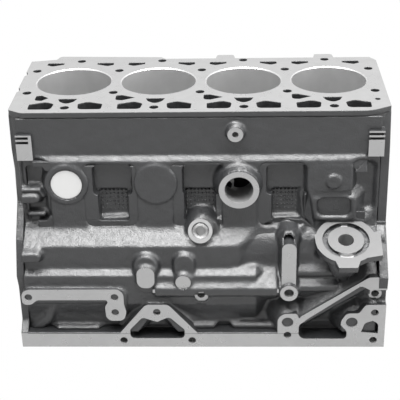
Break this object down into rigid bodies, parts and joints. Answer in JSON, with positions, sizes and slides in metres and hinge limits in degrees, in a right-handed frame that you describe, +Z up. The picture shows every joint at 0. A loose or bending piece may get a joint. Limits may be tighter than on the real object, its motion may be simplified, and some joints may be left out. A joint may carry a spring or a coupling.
{
  "type": "engine block",
  "caption": "Bare cast-iron inline engine block with open cylinder bores, slotted deck, stepped camshaft side, filter seat, core plugs and bolted main bearing caps.",
  "frame": {"origin": "centre of the bounding box on the plane of the oil pan rail", "axes": "+X along the crankshaft from the timing end to the flywheel end, +Y away from the camshaft side towards the plain side, +Z up the cylinder bores"},
  "size_m": [0.4864, 0.316, 0.314],
  "materials": {
    "cast_iron_block": "as-cast dark grey skin, milled faces bright",
    "cast_iron_cap": "cast, machined joint and bore",
    "bolt_steel": "black oxide",
    "dowel_steel": "ground",
    "plug_steel": "bright pressed steel",
    "plug_brass": "plain"
  },
  "bodies": {
    "root": {"cylinder_block": "cast_iron_block", "main_cap_1": "cast_iron_cap", "main_cap_bolts_1": "bolt_steel", "main_cap_2": "cast_iron_cap", "main_cap_bolts_2": "bolt_steel", "main_cap_3": "cast_iron_cap", "main_cap_bolts_3": "bolt_steel", "main_cap_4": "cast_iron_cap", "main_cap_bolts_4": "bolt_steel", "main_cap_5": "cast_iron_cap", "main_cap_bolts_5": "bolt_steel", "side_core_plug": "plug_steel", "back_core_plugs": "plug_steel", "front_core_plug": "plug_steel", "rear_core_plug": "plug_steel", "cam_rear_plug": "plug_steel", "gallery_plug_front": "bolt_steel", "gallery_plug_rear": "bolt_steel", "drain_plug": "plug_brass", "front_dowel_1": "dowel_steel", "front_dowel_2": "dowel_steel", "rear_dowel_1": "dowel_steel", "rear_dowel_2": "dowel_steel"}
  },
  "joints": []
}
